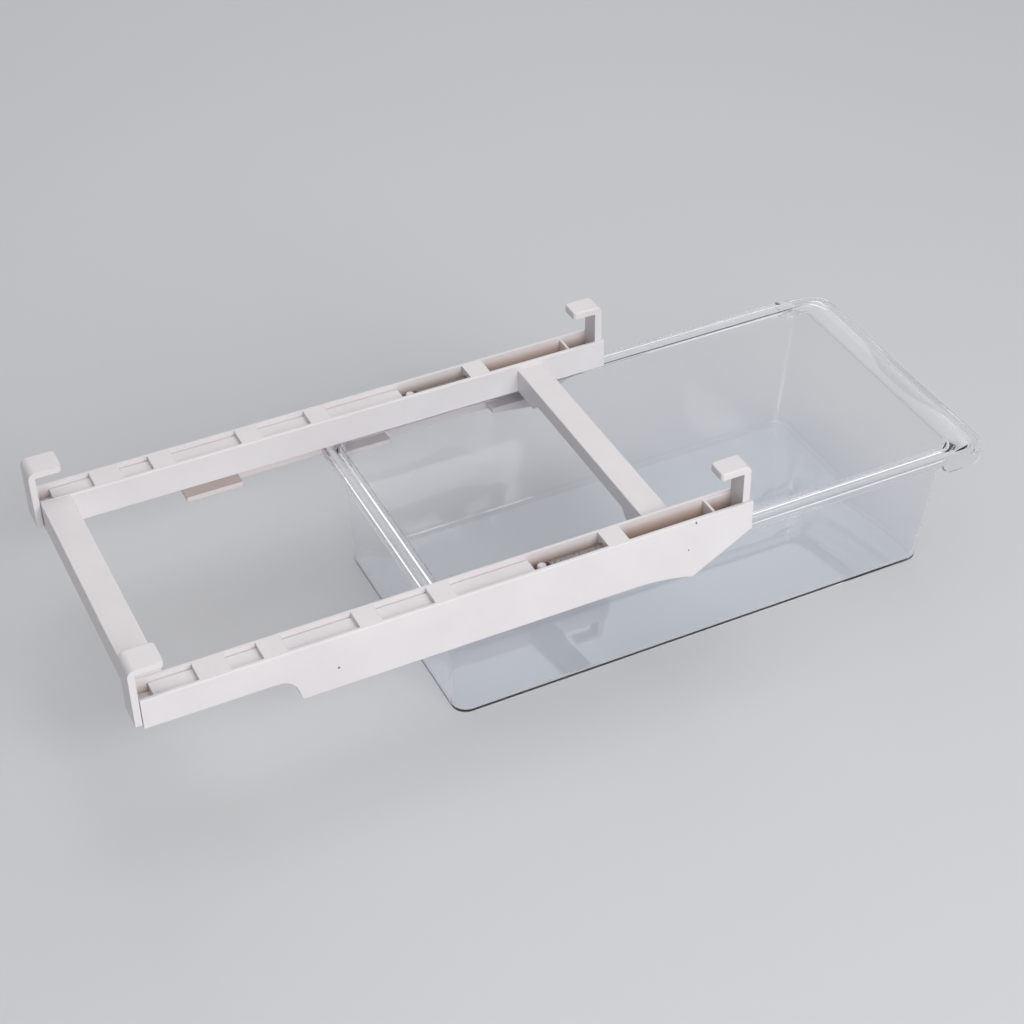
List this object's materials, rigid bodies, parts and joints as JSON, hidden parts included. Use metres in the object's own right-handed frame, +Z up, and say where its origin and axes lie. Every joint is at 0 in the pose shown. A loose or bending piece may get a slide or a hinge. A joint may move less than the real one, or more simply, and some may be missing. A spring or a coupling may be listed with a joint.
{
  "type": "fridge drawer organizer",
  "caption": "Clear pull-out bin hanging in a white frame of channel rails; hooks at the front and spring-loaded sliding hooks at the rear clamp it under a refrigerator shelf",
  "frame": {"origin": "Middle of the whole outline at rest, at the height of the bin's base; the bin is drawn out to 155 mm from shut, as pictured.", "axes": "+Z up. -Y is the front, where the handle is, and the bin pulls out along -Y. +X is to the right for someone who looks along +Y; X = 0 is the plane of symmetry."},
  "size_m": [0.1812, 0.4912, 0.1214],
  "materials": {
    "white_plastic": "moulded, satin, warm in its hollows",
    "clear_plastic": "clear moulded, glossy, faintly blue-grey at its edges",
    "spring_steel": "bright drawn wire"
  },
  "bodies": {
    "frame": {"left_rail": "white_plastic", "right_rail": "white_plastic", "rear_crossbar": "white_plastic", "front_crossbar": "white_plastic", "left_front_hook": "white_plastic", "right_front_hook": "white_plastic", "left_spring": "spring_steel", "right_spring": "spring_steel"},
    "drawer": {"bin": "clear_plastic"},
    "left_slider": {"left_slide_bar": "white_plastic", "left_rear_hook": "white_plastic"},
    "right_slider": {"right_slide_bar": "white_plastic", "right_rear_hook": "white_plastic"}
  },
  "joints": [
    {"name": "drawer_slide", "type": "slide", "parent": "frame", "child": "drawer", "axis": [0, -1, 0], "range_m": [-0.155, 0.025]},
    {"name": "left_hook_slide", "type": "slide", "parent": "frame", "child": "left_slider", "axis": [0, 1, 0], "range_m": [0, 0.085], "stiffness_N_per_m": 200, "springref_m": -0.01, "deforming": ["left_spring"]},
    {"name": "right_hook_slide", "type": "slide", "parent": "frame", "child": "right_slider", "axis": [0, 1, 0], "range_m": [0, 0.085], "stiffness_N_per_m": 200, "springref_m": -0.01, "deforming": ["right_spring"]}
  ]
}
